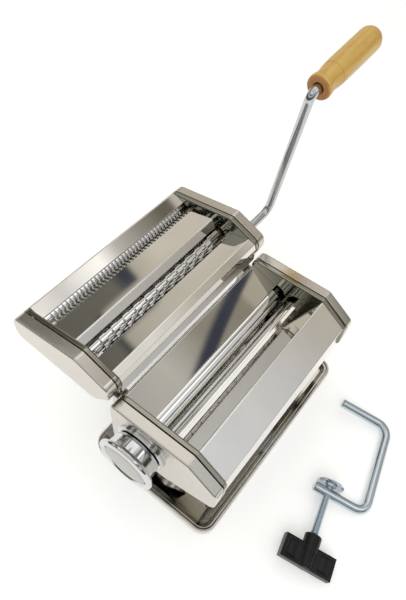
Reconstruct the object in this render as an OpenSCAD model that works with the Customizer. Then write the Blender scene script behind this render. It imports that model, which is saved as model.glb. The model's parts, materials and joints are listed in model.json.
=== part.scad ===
// Hand-cranked pasta roller with a lift-off noodle cutter head and a table clamp.
// Millimetres, +Z up. The rollers run along X, the front cover faces -Y and the
// cutter head hangs on the rear, at +Y. The origin is the centre of the base's underside.

/* [Base] */
// Length of the base tray, along the rollers
base_l = 211; // [206:1:220]
// Depth of the base tray in front of the origin
base_front = 59; // [56:1:64]
// Depth of the base tray behind the origin
base_rear = 70; // [64:1:72]
// Height of the base's rim
base_h = 9.5; // [8:0.5:12]

/* [Housing] */
// Half the distance between the inner faces of the side frames
frame_x = 85.3; // [85.3:0.1:85.6]
// Distance from the centre to the outer face of each side cap
cap_x = 100; // [99.5:0.1:101]
// Thickness of the sheet metal covers
sheet = 1; // [0.8:0.1:1.2]

/* [Smooth rollers] */
// Radius of each smooth roller
roll_r = 11.5; // [11:0.1:11.5]
// Height of the smooth rollers' axes
roll_z = 82; // [81:0.5:83]
// Gap between the smooth rollers at the widest setting
roll_gap = 2; // [1.9:0.1:2.2]
// How far the rear roller closes in at the finest setting
gap_travel = 1.8; // [1.2:0.1:1.8]

/* [Cutter rollers] */
// Outer radius of the cutting rings
ring_r = 10.2; // [10:0.05:10.2]
// Radius of the grooves between the cutting rings
groove_r = 8.1; // [7.8:0.05:8.1]
// Pitch of the narrow cutting rings
thin_pitch = 4; // [4:0.5:5]
// Pitch of the broad cutting rings
wide_pitch = 13; // [12:0.5:13]

/* [Crank] */
// Radius of the crank rod
rod_r = 3.5; // [3:0.1:3.5]
// Length of the crank arm between its two bends
arm_l = 130; // [110:1:150]
// Length of the wooden grip
grip_l = 85; // [72:1:95]

/* [Clamp] */
// Radius of the clamp's bent rod
clamp_rod_r = 4.4; // [4:0.1:4.4]
// Length of the clamp's back, between the centres of its arms
clamp_back = 87.5; // [80:0.5:95]

/* [Hidden] */
$fn = 64;

fit = 0.05;              // radial clearance of a shaft in its bore
eps = 1;                 // how far a cutting tool runs past a face
plate_t = 1.2;           // thickness of a side frame's plate
rim_x = 89.5;            // outer edge of a side frame's rim
cap_in_x = 90.4;         // inner edge of a side cap's rim
cap_t = 1.1;             // wall of a side cap
floor_t = 2.4;           // thickness of the base's floor
foot_top = 3.6;          // top of the frames' foot tabs
gear_x0 = 90;            // inner face of every gear
gear_x1 = 96;            // outer face of every gear
roll_end = 81.5;         // half length of every roller's working face
stub_end = 97;           // end of a gear's journal

// Outlines in the YZ plane, counter-clockwise, each point with its corner radius
body_pts = [[45, 111, 6], [-28.4, 112.5, 3], [-56, 94, 5], [-56, 70, 7], [-8, 51, 12], [45, 51, 8]];
cut_pts = [[143.5, 131, 9], [74.5, 142.3, 6], [42.5, 129.6, 9], [44.5, 117, 6], [60, 100.5, 9], [143.5, 107.5, 9]];
leg_pts = [[38, 80, 2], [-36, 80, 2], [-44, floor_t, 1], [-22, floor_t, 1], [-14, 34, 8], [16, 34, 8], [22, floor_t, 1], [42, floor_t, 1]];

// Axes, as [y, z]
front_axis = [-7, roll_z];
rear_axis = [front_axis[0] + 2 * roll_r + roll_gap, roll_z];
knob_axis = [13.5, 81];
wide_front = [68, 114.5];
thin_front = [112.2, 119];
pair_gap = 2 * ring_r - 1.8;      // distance between the axes of a cutter pair
wide_rear = wide_front + [pair_gap, 0];
thin_rear = thin_front + [pair_gap, 0];

// Gears
body_teeth = 18;
drive_teeth = 16;
cut_teeth = 16;
body_mod = (rear_axis[0] - front_axis[0] - gap_travel) / body_teeth;
cut_mod = pair_gap / cut_teeth;
drive_dir = 200;                  // direction of the drive gear from the front roller
drive_dist = body_mod * (body_teeth + drive_teeth) / 2 + 0.3;
drive_axis = front_axis + drive_dist * [cos(drive_dir), sin(drive_dir)];

ties = [[-45, 82], [38, 88], [37, 66]];
cut_ties = [[54.5, 117], [99.6, 111.5], [98, 128.5]];

// Crank, in its own frame: origin on the wide front roller's axis, arm along +Z
crank_lean = 6.3;
crank_bend = 10;
crank_x = 143.5;
crank_in = 86;                    // inner end of the crank rod
socket_l = 9;                     // round stretch of a crank socket
socket_end = 101;                 // mouth of a crank socket
tongue = [4, 5.2];                // flat tongue on the crank's end
splay = 7;                        // how far the grip leans away from square to the arm
top_bend = 7;
top_run = top_bend * tan((90 - splay) / 2);
lap = 0.2;                        // how far the rod's straight stretches run into its bends
grip_at = 9;                      // from the arm's axis to the grip's face
grip_r = 10.6;
pin_r = 3;                        // radius of the rod inside the grip

// Clamp, in its own frame: origin at the pad, screw along +X, back of the C at +Y
clamp_at = [-1.9, -116.6, 12.4];
clamp_turn = 193;
clamp_reach = 36.7;               // from the screw's axis to the back of the C
clamp_arm = 13.5;                   // the arms' length beyond the screw's axis
clamp_bend = 11;
clamp_tilt = asin((clamp_at[2] - clamp_rod_r) / clamp_reach);
screw_r = 3.4;
screw_arm_x = 9.5;                // where the screw crosses the lower arm
knob_at = 48;                     // where the screw enters its knob
knob_len = 28;
pad_r = 12.4;

function unit(v) = v / norm(v);
function turn(a0, a1) = a1 - a0 > 180 ? a1 - a0 - 360 : a1 - a0 < -180 ? a1 - a0 + 360 : a1 - a0;
// Points of the arc that rounds the corner p between a and b
function corner(a, p, b, r, n = 5) =
    let (ua = unit(a - p), ub = unit(b - p), half = acos(ua * ub) / 2, t = r / tan(half),
         c = p + unit(ua + ub) * r / sin(half), s = p + ua * t - c, e = p + ub * t - c,
         a0 = atan2(s[1], s[0]), da = turn(a0, atan2(e[1], e[0])))
    [for (i = [0:n]) c + r * [cos(a0 + da * i / n), sin(a0 + da * i / n)]];
function xy(p) = [p[0], p[1]];
function rounded(pts) =
    let (m = len(pts))
    [for (i = [0:m - 1]) each corner(xy(pts[(i + m - 1) % m]), xy(pts[i]), xy(pts[(i + 1) % m]), pts[i][2])];
// The outline moved inwards by d
function left_of(v) = [-v[1], v[0]];
function inset(pts, d) =
    let (m = len(pts))
    [for (i = [0:m - 1])
        let (p = xy(pts[i]), n1 = left_of(unit(p - xy(pts[(i + m - 1) % m]))),
             n2 = left_of(unit(xy(pts[(i + 1) % m]) - p)), q = p + d * (n1 + n2) / (1 + n1 * n2))
        [q[0], q[1], max(pts[i][2] - d, 0.4)]];
// A bent strip of thickness t to the left of a line of points
function side_line(pts, t) =
    let (m = len(pts))
    [for (i = [0:m - 1])
        let (n1 = left_of(unit(pts[i] - pts[max(i - 1, 0)])),
             n2 = left_of(unit(pts[min(i + 1, m - 1)] - pts[i])),
             a = i == 0 ? n2 : n1, b = i == m - 1 ? n1 : n2)
        pts[i] + t * (a + b) / (1 + a * b)];
function strip(pts, t) =
    let (s = side_line(pts, t), m = len(pts))
    concat(pts, [for (i = [m - 1:-1:0]) s[i]]);

// Involute gear outline
function inv_angle(rb, r) = let (k = sqrt(max(r * r / rb / rb - 1, 0))) k * 180 / PI - atan(k);
function tooth_half(n, m, r, slack) =
    let (rp = n * m / 2, rb = rp * cos(20))
    90 / n - slack / rp * 90 / PI + inv_angle(rb, rp) - inv_angle(rb, max(r, rb));
function gear_points(n, m, r_tip, r_root, phase, slack) =
    let (rb = n * m / 2 * cos(20), r0 = max(rb, r_root), rs = [r_root, r0 + 0.05, (r0 + r_tip) / 2, r_tip])
    [for (k = [0:n - 1]) each concat(
        [for (i = [0:3]) let (a = phase + k * 360 / n - tooth_half(n, m, rs[i], slack)) rs[i] * [cos(a), sin(a)]],
        [for (i = [3:-1:0]) let (a = phase + k * 360 / n + tooth_half(n, m, rs[i], slack)) rs[i] * [cos(a), sin(a)]])];
// Phase that puts a gear in mesh with another, which lies at direction dir from it
function mesh_phase(n_from, phase_from, dir, n_to) =
    let (a = (dir - phase_from) * n_from / 360) dir + 180 - (0.5 - a) * 360 / n_to;

// Cutting rings: n rings of width w and pitch p, along a roller
function rings(n, p, w) =
    [for (k = [0:n - 1]) let (c = (k - (n - 1) / 2) * p) each
        [[groove_r, c - w / 2], [ring_r, c - w / 2], [ring_r, c + w / 2], [groove_r, c + w / 2]]];

module along_x(x0, x1) {
    translate([x0, 0, 0]) rotate([90, 0, 90]) linear_extrude(x1 - x0) children();
}
module rod_x(at, r, x0, x1) {
    translate([x0, at[0], at[1]]) rotate([0, 90, 0]) cylinder(r = r, h = x1 - x0);
}
module rod_z(x, y, r, z0, z1) {
    translate([x, y, z0]) cylinder(r = r, h = z1 - z0);
}
module slab(lo, hi) {
    translate(lo) cube(hi - lo);
}
module round_plate(pts, x0, x1) {
    along_x(x0, x1) polygon(rounded(pts));
}
module spin_x(at) {
    translate([0, at[0], at[1]]) rotate([0, 90, 0]) rotate_extrude() children();
}
module both_sides() {
    children();
    mirror([1, 0, 0]) children();
}
// A quarter of a ring of round rod, from +X to +Y, about the origin
module elbow(r, bend, angle = 90) {
    rotate_extrude(angle = angle) translate([bend, 0]) circle(r = r);
}

// ---- machine: base ----
module base_outline(d) {
    pts = [[base_l / 2, base_rear, 13], [-base_l / 2, base_rear, 13],
           [-base_l / 2, -base_front, 13], [base_l / 2, -base_front, 13]];
    polygon(rounded(inset(pts, d)));
}
module pad_places() {
    for (x = [-1, 1], y = [-base_front + 12, base_rear - 12]) translate([x * (base_l / 2 - 13), y, 0]) children();
}
module screw_places() {
    for (x = [-1, 1], y = [-32, 32]) translate([x * 78, y, 0]) children();
}
module base_plate() {
    color("gainsboro") difference() {
        union() {
            translate([0, 0, 1]) linear_extrude(base_h - 2) base_outline(0);
            linear_extrude(base_h) base_outline(0.8);
        }
        translate([0, 0, floor_t]) linear_extrude(base_h) base_outline(6);
        pad_places() translate([0, 0, -eps]) cylinder(r = 6, h = 1.6 + eps);
        screw_places() translate([0, 0, -eps]) cylinder(r = 2.1, h = floor_t + 2 * eps);
    }
}
module rubber_pads() {
    color("dimgray") pad_places() cylinder(r = 6, h = 1.6);
}
module base_screws() {
    color("silver") screw_places() {
        cylinder(r = 2, h = foot_top);
        translate([0, 0, foot_top]) cylinder(r = 4, h = 1.4);
        translate([0, 0, foot_top + 1.4]) cylinder(r = 2.6, h = 1.2);
    }
}

// ---- machine: side frames and caps ----
module pan(pts) {
    round_plate(pts, frame_x, frame_x + plate_t);
    difference() {
        round_plate(pts, frame_x + plate_t, rim_x);
        round_plate(inset(pts, plate_t), frame_x, rim_x + eps);
    }
}
module slide_window(x0, x1) {
    for (y = [rear_axis[0] - gap_travel - 0.4, rear_axis[0] + 0.4]) rod_x([y, roll_z], 5.4, x0, x1);
    slab([x0, rear_axis[0] - gap_travel - 0.4, roll_z - 5.4], [x1, rear_axis[0] + 0.4, roll_z + 5.4]);
}
module body_frame(drive) {
    difference() {
        union() {
            pan(body_pts);
            round_plate(leg_pts, frame_x, frame_x + plate_t);
            for (y = [-44, 20]) slab([72, y, floor_t], [frame_x, y + 24, foot_top]);
            for (z = [roll_z - 10.6, roll_z + 8.8]) slab([frame_x, 8, z], [rim_x, 28, z + 1.8]);
        }
        rod_x(front_axis, 7, 80, 95);
        slide_window(80, 88);
        for (t = ties) rod_x(t, 3 + fit, 80, 95);
        if (drive) rod_x(drive_axis, 9, 80, 95);
        screw_places() cylinder(r = 2.1, h = 10);
    }
}
module cap_shell(pts) {
    difference() {
        union() {
            round_plate(pts, cap_in_x, cap_x - 0.8);
            round_plate(inset(pts, 0.8), cap_in_x, cap_x);
        }
        round_plate(inset(pts, cap_t), cap_in_x - eps, cap_x - cap_t);
    }
}
module left_frame() {
    color("silver") mirror([1, 0, 0]) body_frame(false);
}
module right_frame() {
    color("silver") body_frame(true);
}
module left_cap() {
    color("lightgray") mirror([1, 0, 0]) difference() {
        cap_shell(body_pts);
        rod_x(knob_axis, 8, 90, 110);
    }
}
module right_cap() {
    color("lightgray") difference() {
        cap_shell(body_pts);
        rod_x(drive_axis, 7.4, 90, 110);
    }
}

// ---- machine: covers and inner fittings ----
module cover(pts, x0 = -frame_x, x1 = frame_x, t = sheet) {
    along_x(x0, x1) polygon(strip(pts, t));
}
module rear_hopper() {
    color("gainsboro") cover([[44, 98], [44, 104], [42.6, 105], [16.8, 95.2]], t = 0.8);
}
module front_cover() {
    color("gainsboro") cover([[-7.6, 97.6], [-10.9, 98], [-12.6, 100], [-28.8, 111], [-54, 94.2], [-54, 63], [-50.5, 59.6]]);
}
module rear_cover() {
    color("silver") cover([[40, 56], [45, 58], [45, 102.6]]);
}
module tie_rods() {
    color("silver") for (t = ties) rod_x(t, 3, -cap_x + cap_t, cap_x - cap_t);
}
module hex_nut(at, x0, x1) {
    difference() {
        translate([x0, at[0], at[1]]) rotate([0, 90, 0]) cylinder(r = 5.2, h = x1 - x0, $fn = 6);
        rod_x(at, 3, x0 - eps, x1 + eps);
    }
}
module tie_nuts() {
    color("silver") both_sides() for (t = ties) hex_nut(t, frame_x + plate_t, rim_x);
}
module scraper(pts) {
    color("silver") cover(pts, -roll_end, roll_end, 1.2);
}
module front_scraper() {
    scraper([[-24, 66], [-17.6, 66], [-14.8, 72.2]]);
}
module rear_scraper() {
    scraper([[25.6, 72.2], [28.6, 66], [33, 66]]);
}
module bush(at, r_in, r_out, x0, x1) {
    difference() {
        rod_x(at, r_out, x0, x1);
        rod_x(at, r_in, x0 - eps, x1 + eps);
    }
}
module frame_bushes() {
    color("goldenrod") {
        both_sides() bush(front_axis, 5 + fit, 7, 84, 89.4);
        bush(drive_axis, 6.5 + fit, 9, 82.5, 89.4);
        mirror([1, 0, 0]) bush(knob_axis, 5 + fit, 8, 96, 100);
    }
}
module dial_ring() {
    color("silver") mirror([1, 0, 0]) difference() {
        union() {
            rod_x(knob_axis, 22.4, cap_x, 102);
            rod_x(knob_axis, 21.4, 102, 102.8);
        }
        rod_x(knob_axis, 5.4, 99, 105);
        rod_x(knob_axis + [12, 0], 1.2, 99, 105);
    }
}
module index_pin() {
    color("silver") mirror([1, 0, 0]) rod_x(knob_axis + [12, 0], 1.2, cap_x, 109.4);
}
module clamp_socket() {
    color("silver") difference() {
        slab([-9, -45, floor_t], [9, -33, 24]);
        translate([0, -32, 16.2]) rotate([90, 0, 0]) cylinder(r = clamp_rod_r + 0.2, h = 14);
    }
}
module hook_brackets() {
    color("silver") both_sides() difference() {
        slab([77.4, 45, 78], [88, 53.4, 99]);
        slab([79.4, 46.8, 70], [85.9, 50.9, 110]);
        slab([77, 50.8, 70], [83, 60, 80]);
    }
}

// ---- machine: smooth rollers and drive ----
module crank_socket(at, x_floor) {
    half = [tongue[0] / 2 + 0.15, tongue[1] / 2 + 0.15];
    rod_x(at, rod_r + fit, socket_end - socket_l, socket_end + eps);
    slab([x_floor, at[0] - half[0], at[1] - half[1]], [socket_end, at[0] + half[0], at[1] + half[1]]);
}
module drive_shaft() {
    color("silver") difference() {
        union() {
            rod_x(drive_axis, 6.5, 80, 97);
            rod_x(drive_axis, 6.2, 97, socket_end);
            rod_x(drive_axis, 8, 79, 82.3);
        }
        crank_socket(drive_axis, crank_in - 0.6);
    }
}
// A toothed wheel on the right-hand side, bored for its journal
module gear(at, n, m, r_tip, r_root, phase, r_bore, slack = 0.12) {
    difference() {
        along_x(gear_x0, gear_x1) translate(at) polygon(gear_points(n, m, r_tip, r_root, phase, slack));
        rod_x(at, r_bore, gear_x0 - eps, gear_x1 + eps);
    }
}
front_phase = 0;
module drive_gear() {
    color("dimgray") gear(drive_axis, drive_teeth, body_mod, 11.5, 8.6,
        mesh_phase(body_teeth, front_phase, drive_dir, drive_teeth), 6.5);
}
module smooth_roller(at, journal) {
    rod_x(at, roll_r, -roll_end, roll_end);
    rod_x(at, journal, -90, stub_end);
}
module front_roller() {
    color("white") smooth_roller(front_axis, 5);
}
module front_roller_gear() {
    color("dimgray") gear(front_axis, body_teeth, body_mod, 13.1, 9.5, front_phase, 5);
}
module bearing_slides() {
    color("goldenrod") difference() {
        both_sides() slab([frame_x + plate_t + 0.2, 10.6, roll_z - 8.4], [rim_x - 0.1, 25.4, roll_z + 8.4]);
        rod_x(rear_axis, 4.5 + fit, -95, 95);
        mirror([1, 0, 0]) slab([88.4, 11.2, roll_z - 6], [90, 17, roll_z + 6]);
    }
}
module rear_roller() {
    color("white") {
        rod_x(rear_axis, roll_r, -roll_end, roll_end);
        rod_x(rear_axis, 4.5, -88.2, stub_end);
    }
}
module rear_roller_gear() {
    color("dimgray") gear(rear_axis, body_teeth, body_mod, 13.1, 9.5,
        mesh_phase(body_teeth, front_phase, 0, body_teeth), 4.5);
}

// ---- machine: thickness knob ----
module knob_shaft() {
    color("silver") mirror([1, 0, 0]) {
        rod_x(knob_axis, 5, 91, 110);
        rod_x(knob_axis, 3, 110, 117);
        rod_x(knob_axis, 6, 117, 118);
        rod_x(knob_axis + [0.8, 0], 1.2, 88.8, 91);
    }
}
module knob() {
    color("gainsboro") mirror([1, 0, 0]) spin_x(knob_axis) polygon([
        [3 + fit, 110], [16, 110], [16, 103.4], [19.6, 103.4], [20.6, 106], [21, 110.5], [21.5, 114.5],
        [24.6, 115.6], [25.6, 117], [25.2, 118.8], [23.6, 119.8], [21.4, 119.8], [20.2, 118.6],
        [18.4, 113], [3 + fit, 113]]);
}
module knob_cover() {
    color("gainsboro") mirror([1, 0, 0]) spin_x(knob_axis) polygon([
        [0, 118.9], [19.4, 117.2], [20.1, 118.6], [15, 119.4], [0, 119.8]]);
}
module knob_spring() {
    color("silver") mirror([1, 0, 0]) spin_x(knob_axis) polygon([[3.4, 113], [5.2, 113], [5.2, 117], [3.4, 117]]);
}

// ---- cutter head: frames, caps and plates ----
module cutter_frame() {
    difference() {
        pan(cut_pts);
        for (a = [wide_front, wide_rear, thin_front, thin_rear]) rod_x(a, 6, 80, 95);
        for (t = cut_ties) rod_x(t, 2.5 + fit, 80, 95);
    }
}
module cutter_left_frame() {
    color("silver") mirror([1, 0, 0]) cutter_frame();
}
module cutter_right_frame() {
    color("silver") cutter_frame();
}
module cutter_left_cap() {
    color("lightgray") mirror([1, 0, 0]) cap_shell(cut_pts);
}
module cutter_right_cap() {
    color("lightgray") difference() {
        cap_shell(cut_pts);
        for (a = [wide_front, thin_front]) rod_x(a, 6.4, 90, 110);
    }
}
module cutter_rear_plate() {
    color("gainsboro") cover([[142.6, 110], [142.6, 128.6], [138.4, 132.6], [125, 130]], t = 0.9);
}
module cutter_middle_plate() {
    color("gainsboro") cover([[112.2, 131.4], [88, 137.6], [83.2, 127.4]], x1 = 79, t = 0.9);
}
module cutter_front_plate() {
    color("gainsboro") cover([[70.6, 127], [52.5, 132.2], [46, 130.2], [43.8, 125], [43.8, 112]], t = 0.9);
}
module cutter_tie_rods() {
    color("silver") for (t = cut_ties) rod_x(t, 2.5, -cap_x + cap_t, cap_x - cap_t);
}
module cutter_tie_nuts() {
    color("silver") both_sides() for (t = cut_ties) difference() {
        translate([frame_x + plate_t, t[0], t[1]]) rotate([0, 90, 0]) cylinder(r = 4, h = 2.6, $fn = 6);
        rod_x(t, 2.5, 80, 95);
    }
}
module cutter_bushes() {
    color("goldenrod") both_sides() for (a = [wide_front, wide_rear, thin_front, thin_rear])
        bush(a, 4.4 + fit, 6, 83, 89.4);
}
module cutter_hooks() {
    color("silver") both_sides() slab([79.9, 47.4, 84], [frame_x, 50.4, 124]);
}
// A row of fingers that reach into a cutter roller's grooves from below
module comb(at, n, pitch, finger) {
    bar_top = at[1] - ring_r - 0.4;
    bar_low = bar_top - 1.9;
    translate([0, at[0] - 0.5, 0]) {
        slab([-roll_end, 0, bar_low], [roll_end, 1, bar_top]);
        for (k = [0:n - 1])
            slab([(k - (n - 1) / 2) * pitch - finger / 2, 0, bar_low],
                 [(k - (n - 1) / 2) * pitch + finger / 2, 1, at[1] - groove_r - 0.4]);
    }
}
thin_n = floor(2 * roll_end / thin_pitch);
wide_n = floor(2 * roll_end / wide_pitch);
thin_ring = thin_pitch / 2 - 0.2;
wide_ring = wide_pitch / 2 - 0.25;
module thin_combs() {
    color("silver") {
        comb(thin_front, thin_n - 1, thin_pitch, thin_ring - 0.4);
        comb(thin_rear, thin_n, thin_pitch, thin_ring - 0.4);
    }
}
module wide_combs() {
    color("silver") {
        comb(wide_front, wide_n - 1, wide_pitch, wide_ring - 0.4);
        comb(wide_rear, wide_n, wide_pitch, wide_ring - 0.4);
    }
}

// ---- cutter head: rollers ----
module cutter_roller(at, n, pitch, ring, x_right) {
    spin_x(at) polygon(concat(
        [[0, -88], [4.4, -88], [4.4, -82.6], [groove_r, -82.6]],
        rings(n, pitch, ring),
        [[groove_r, 82.6], [4.4, 82.6], [4.4, x_right], [0, x_right]]));
}
// The front roller of a pair ends in a crank socket
module socket_roller(at, n, pitch, ring) {
    difference() {
        union() {
            cutter_roller(at, n, pitch, ring, 90);
            rod_x(at, 4.4, 89, gear_x1);
            rod_x(at, 5.6, gear_x1, socket_end);
        }
        crank_socket(at, crank_in - 0.6);
    }
}
module wide_front_roller() {
    color("white") socket_roller(wide_front, wide_n, wide_pitch, wide_ring);
}
module wide_rear_roller() {
    color("white") cutter_roller(wide_rear, wide_n - 1, wide_pitch, wide_ring, stub_end);
}
module thin_front_roller() {
    color("white") socket_roller(thin_front, thin_n, thin_pitch, thin_ring);
}
module thin_rear_roller() {
    color("white") cutter_roller(thin_rear, thin_n - 1, thin_pitch, thin_ring, stub_end);
}
module cutter_gear(at, phase) {
    color("dimgray") gear(at, cut_teeth, cut_mod, 10.4, 7.85, phase, 4.4, 0.1);
}
cut_phase = mesh_phase(cut_teeth, 0, 0, cut_teeth);
module wide_front_gear() {
    cutter_gear(wide_front, 0);
}
module wide_rear_gear() {
    cutter_gear(wide_rear, cut_phase);
}
module thin_front_gear() {
    cutter_gear(thin_front, 0);
}
module thin_rear_gear() {
    cutter_gear(thin_rear, cut_phase);
}

// ---- crank ----
module at_crank() {
    translate([0, wide_front[0], wide_front[1]]) rotate([crank_lean, 0, 0]) children();
}
module at_grip() {
    at_crank() translate([crank_x, 0, arm_l]) rotate([0, -splay, 0]) children();
}
module crank_rod() {
    round_end = socket_end - socket_l;
    color("silver") {
        at_crank() {
            rod_x([0, 0], rod_r, round_end, crank_x - crank_bend);
            translate([crank_x - crank_bend, 0, crank_bend]) rotate([90, 0, 0]) rotate([0, 0, -90])
                elbow(rod_r, crank_bend);
            translate([crank_x, 0, crank_bend - lap])
                cylinder(r = rod_r + 0.02, h = arm_l - crank_bend - top_run + 2 * lap);
            translate([crank_x + top_bend, 0, arm_l - top_run]) rotate([90, 0, 0]) rotate([0, 0, 90 + splay])
                elbow(rod_r, top_bend, 90 - splay);
        }
        at_grip() {
            rod_x([0, 0], rod_r + 0.02, top_run - lap, grip_at + 4);
            rod_x([0, 0], pin_r, grip_at + 4 - eps, grip_at + grip_l - 6);
        }
        slab([crank_in, wide_front[0] - tongue[0] / 2, wide_front[1] - tongue[1] / 2],
             [round_end + 1, wide_front[0] + tongue[0] / 2, wide_front[1] + tongue[1] / 2]);
    }
}
module crank_grip() {
    bore = pin_r + fit;
    mouth = rod_r + 0.6;
    color("burlywood") at_grip() translate([grip_at, 0, 0]) spin_x([0, 0]) polygon([
        [bore, 5], [mouth, 5], [mouth, 0], [9.4, 0], [grip_r, 1.2], [grip_r, 4.5],
        [9.6, 8], [9.5, 11], [10.3, 15], [10.3, 18.6],
        [10, 19.2], [10.5, 24], [11, 45], [11, grip_l - 16],
        [10.4, grip_l - 8], [8.4, grip_l - 3.4], [5, grip_l - 1.6], [5, grip_l - 4], [bore, grip_l - 4]]);
}
module grip_washer() {
    color("silver") at_grip() translate([grip_at + grip_l, 0, 0]) difference() {
        rod_x([0, 0], 4.8, -4, -2.6);
        rod_x([0, 0], pin_r, -10, 10);
    }
}

// ---- clamp, lying on the ground in front of the base ----
module at_clamp() {
    translate(clamp_at) rotate([0, 0, clamp_turn]) rotate([-clamp_tilt, 0, 0]) children();
}
module clamp_frame() {
    arm_x = screw_arm_x;
    top_x = screw_arm_x - clamp_back;
    inner = clamp_reach - clamp_bend;
    color("silver") at_clamp() {
        difference() {
            translate([arm_x, inner, 0]) rotate([90, 0, 0]) cylinder(r = clamp_rod_r, h = inner + clamp_arm);
            rod_x([0, 0], screw_r + fit, arm_x - 8, arm_x + 8);
        }
        translate([arm_x - clamp_bend, inner, 0]) elbow(clamp_rod_r, clamp_bend);
        rod_x([clamp_reach, 0], clamp_rod_r, top_x + clamp_bend, arm_x - clamp_bend);
        translate([top_x + clamp_bend, inner, 0]) rotate([0, 0, 90]) elbow(clamp_rod_r, clamp_bend);
        translate([top_x, inner, 0]) rotate([90, 0, 0]) cylinder(r = clamp_rod_r, h = inner + clamp_arm);
    }
}
module clamp_screw() {
    color("silver") at_clamp() {
        rod_x([0, 0], 2.5, 0.2, 2.4);
        rod_x([0, 0], screw_r, 2.4, knob_at + knob_len - 6);
    }
}
module clamp_pad() {
    color("silver") at_clamp() difference() {
        spin_x([0, 0]) polygon([[0, -0.8], [7.6, -0.8], [11.2, 1.6], [pad_r, 1.4], [pad_r, 2.2], [11, 3],
            [7, 1.6], [5.6, 2], [5, 4.2], [0, 4.2]]);
        rod_x([0, 0], 2.5 + fit, 0, 2.4);
        rod_x([0, 0], screw_r + fit, 2.35, 6);
    }
}
module clamp_knob() {
    knob_end = knob_at + knob_len;
    wing = knob_at + 9;
    color("#222222") at_clamp() difference() {
        union() {
            rod_x([0, 0], 7.2, knob_at, wing + 6);
            rod_x([0, 0], 6.4, wing + 6, knob_end - 0.4);
            translate([0, 0, -4.2]) linear_extrude(8.4) polygon(rounded([[wing, -22.8, 1.5], [knob_end, -22.8, 1.5],
                [knob_end, 22.8, 1.5], [wing, 22.8, 1.5]]));
        }
        rod_x([0, 0], screw_r, knob_at - eps, knob_end - 6);
        for (s = [-1, 1], t = [-1, 1]) translate([wing + 9.5, s * 14.6, t * 12.6]) rotate([0, 90, 0])
            translate([0, 0, -7]) cylinder(r = 9.4, h = 14);
    }
}

base_plate();
rubber_pads();
left_frame();
right_frame();
left_cap();
right_cap();
rear_hopper();
front_cover();
rear_cover();
tie_rods();
tie_nuts();
base_screws();
front_scraper();
rear_scraper();
frame_bushes();
dial_ring();
index_pin();
clamp_socket();
hook_brackets();
drive_shaft();
drive_gear();
front_roller();
front_roller_gear();
bearing_slides();
rear_roller();
rear_roller_gear();
knob_shaft();
knob();
knob_cover();
knob_spring();
cutter_left_frame();
cutter_right_frame();
cutter_left_cap();
cutter_right_cap();
cutter_rear_plate();
cutter_middle_plate();
cutter_front_plate();
cutter_tie_rods();
cutter_tie_nuts();
cutter_bushes();
cutter_hooks();
thin_combs();
wide_combs();
wide_front_roller();
wide_front_gear();
wide_rear_roller();
wide_rear_gear();
thin_front_roller();
thin_front_gear();
thin_rear_roller();
thin_rear_gear();
crank_rod();
crank_grip();
grip_washer();
clamp_frame();
clamp_screw();
clamp_pad();
clamp_knob();
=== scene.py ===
"""The pasta roller's looks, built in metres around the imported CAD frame.

Finer meshes stand for the pressed sheets, caps, rollers, knob, crank and clamp.
Gears, bushes, screws, ties and hooks are the CAD nodes with procedural materials.
"""
import json
import math
import bpy
from mathutils import Matrix, Vector
from mathutils.geometry import tessellate_polygon


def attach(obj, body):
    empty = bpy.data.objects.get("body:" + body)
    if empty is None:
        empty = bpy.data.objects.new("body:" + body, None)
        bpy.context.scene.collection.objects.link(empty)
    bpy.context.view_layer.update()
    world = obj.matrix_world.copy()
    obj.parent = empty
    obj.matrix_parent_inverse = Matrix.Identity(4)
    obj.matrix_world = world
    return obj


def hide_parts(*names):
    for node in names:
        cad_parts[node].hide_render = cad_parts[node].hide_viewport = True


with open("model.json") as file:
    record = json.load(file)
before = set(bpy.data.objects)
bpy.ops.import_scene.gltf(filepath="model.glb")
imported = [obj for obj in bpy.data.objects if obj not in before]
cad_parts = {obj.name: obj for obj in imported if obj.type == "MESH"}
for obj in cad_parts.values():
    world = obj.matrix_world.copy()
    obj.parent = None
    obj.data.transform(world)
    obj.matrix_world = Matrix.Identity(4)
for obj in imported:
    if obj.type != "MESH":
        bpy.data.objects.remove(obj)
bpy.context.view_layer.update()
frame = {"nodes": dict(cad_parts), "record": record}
MM = 0.001
TAU = 2 * math.pi
scene = bpy.context.scene


# ---- outlines in a plane, in millimetres: corners are (a, b, radius) ----
def turned(v):
    return Vector((-v.y, v.x))


def rounded(corners, steps=8):
    """A closed outline with each corner turned into an arc."""
    out = []
    for i, (x, y, r) in enumerate(corners):
        p = Vector((x, y))
        a = (Vector(corners[i - 1][:2]) - p).normalized()
        b = (Vector(corners[(i + 1) % len(corners)][:2]) - p).normalized()
        half = a.angle(b) / 2
        c = p + (a + b).normalized() * r / math.sin(half)
        s = p + a * r / math.tan(half) - c
        e = p + b * r / math.tan(half) - c
        start = math.atan2(s.y, s.x)
        sweep = (math.atan2(e.y, e.x) - start + math.pi) % TAU - math.pi
        for k in range(steps + 1):
            t = start + sweep * k / steps
            out.append((c.x + r * math.cos(t), c.y + r * math.sin(t)))
    return out


def inset(corners, d):
    """A counter-clockwise outline moved inwards by d, its arcs kept concentric."""
    out = []
    for i, (x, y, r) in enumerate(corners):
        p = Vector((x, y))
        u = (p - Vector(corners[i - 1][:2])).normalized()
        v = (Vector(corners[(i + 1) % len(corners)][:2]) - p).normalized()
        n1, n2 = turned(u), turned(v)
        q = p + (n1 + n2) * d / (1 + n1.dot(n2))
        convex = u.x * v.y - u.y * v.x > 0
        out.append((q.x, q.y, max(r - d if convex else r + d, 0.05)))
    return out


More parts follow.
